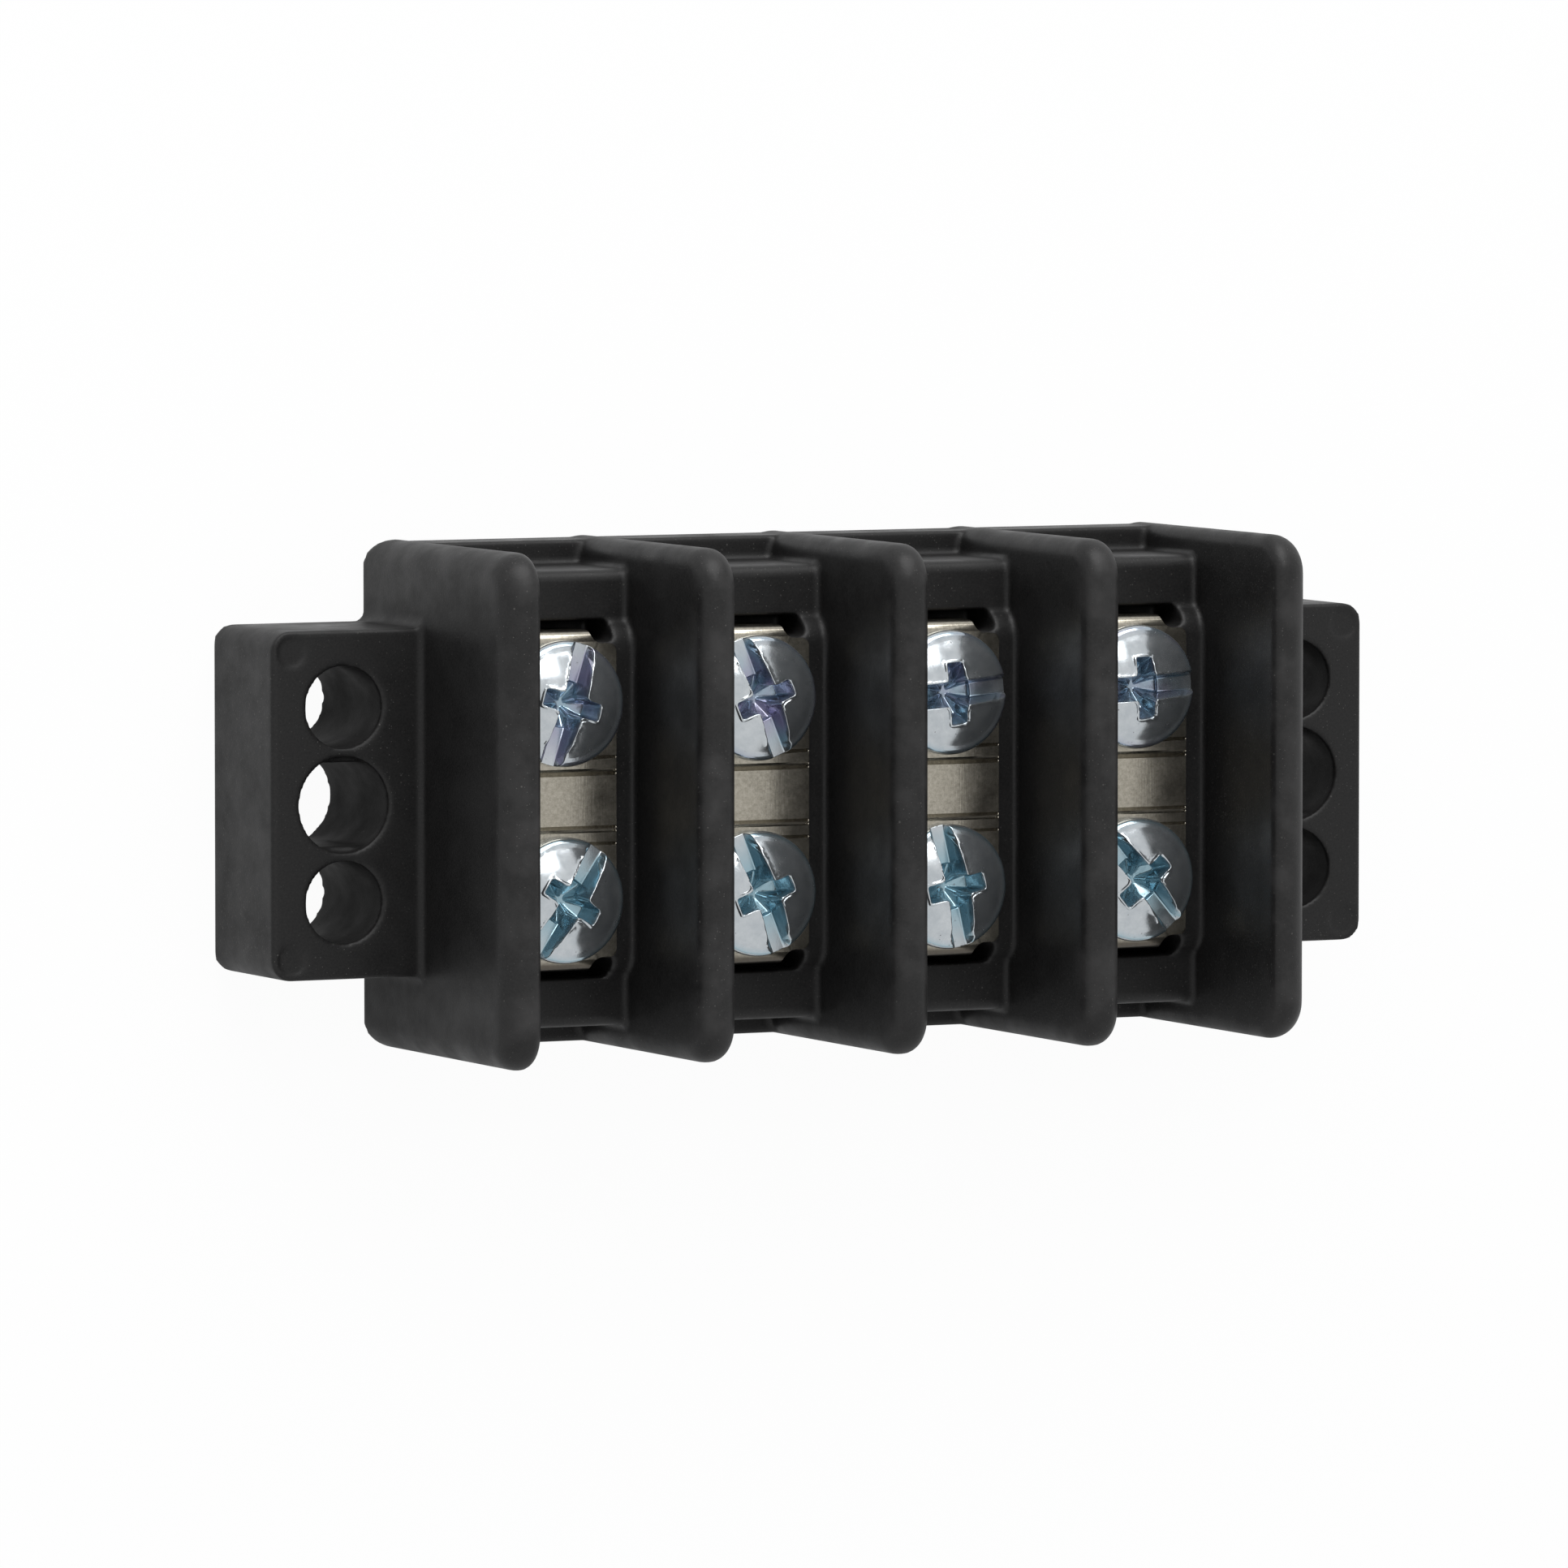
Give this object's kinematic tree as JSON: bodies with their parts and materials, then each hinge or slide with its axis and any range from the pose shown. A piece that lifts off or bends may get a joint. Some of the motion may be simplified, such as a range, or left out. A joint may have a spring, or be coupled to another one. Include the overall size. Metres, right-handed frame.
{
  "type": "barrier terminal strip",
  "caption": "Double-row barrier terminal strip: black moulded body with tall rounded barriers, plated screw plates in the bays and pierced end blocks for fixing.",
  "frame": {"origin": "centre of the strip's footprint on the flat mounting base", "axes": "X runs along the strip through the four poles, Y runs across the strip towards screw row A, Z points out of the mounting base towards the barrier tops"},
  "size_m": [0.1, 0.0418, 0.0284],
  "materials": {
    "moulding": "black phenolic moulding, satin, with fine dust",
    "plate": "nickel-plated sheet brass, dull and smudged",
    "screw": "bright zinc-plated steel"
  },
  "bodies": {
    "strip": {"moulded_body": "moulding", "terminal_plate_1": "plate", "terminal_plate_2": "plate", "terminal_plate_3": "plate", "terminal_plate_4": "plate"},
    "screw_a1": {"terminal_screw_a1": "screw"},
    "screw_a2": {"terminal_screw_a2": "screw"},
    "screw_a3": {"terminal_screw_a3": "screw"},
    "screw_a4": {"terminal_screw_a4": "screw"},
    "screw_b1": {"terminal_screw_b1": "screw"},
    "screw_b2": {"terminal_screw_b2": "screw"},
    "screw_b3": {"terminal_screw_b3": "screw"},
    "screw_b4": {"terminal_screw_b4": "screw"}
  },
  "joints": [
    {"name": "screw_a1_lift", "type": "slide", "parent": "strip", "child": "screw_a1", "axis": [0, 0, 1], "range_m": [0, 0.00635]},
    {"name": "screw_a2_lift", "type": "slide", "parent": "strip", "child": "screw_a2", "axis": [0, 0, 1], "range_m": [0, 0.00635]},
    {"name": "screw_a3_lift", "type": "slide", "parent": "strip", "child": "screw_a3", "axis": [0, 0, 1], "range_m": [0, 0.00635]},
    {"name": "screw_a4_lift", "type": "slide", "parent": "strip", "child": "screw_a4", "axis": [0, 0, 1], "range_m": [0, 0.00635]},
    {"name": "screw_b1_lift", "type": "slide", "parent": "strip", "child": "screw_b1", "axis": [0, 0, 1], "range_m": [0, 0.00635]},
    {"name": "screw_b2_lift", "type": "slide", "parent": "strip", "child": "screw_b2", "axis": [0, 0, 1], "range_m": [0, 0.00635]},
    {"name": "screw_b3_lift", "type": "slide", "parent": "strip", "child": "screw_b3", "axis": [0, 0, 1], "range_m": [0, 0.00635]},
    {"name": "screw_b4_lift", "type": "slide", "parent": "strip", "child": "screw_b4", "axis": [0, 0, 1], "range_m": [0, 0.00635]}
  ]
}
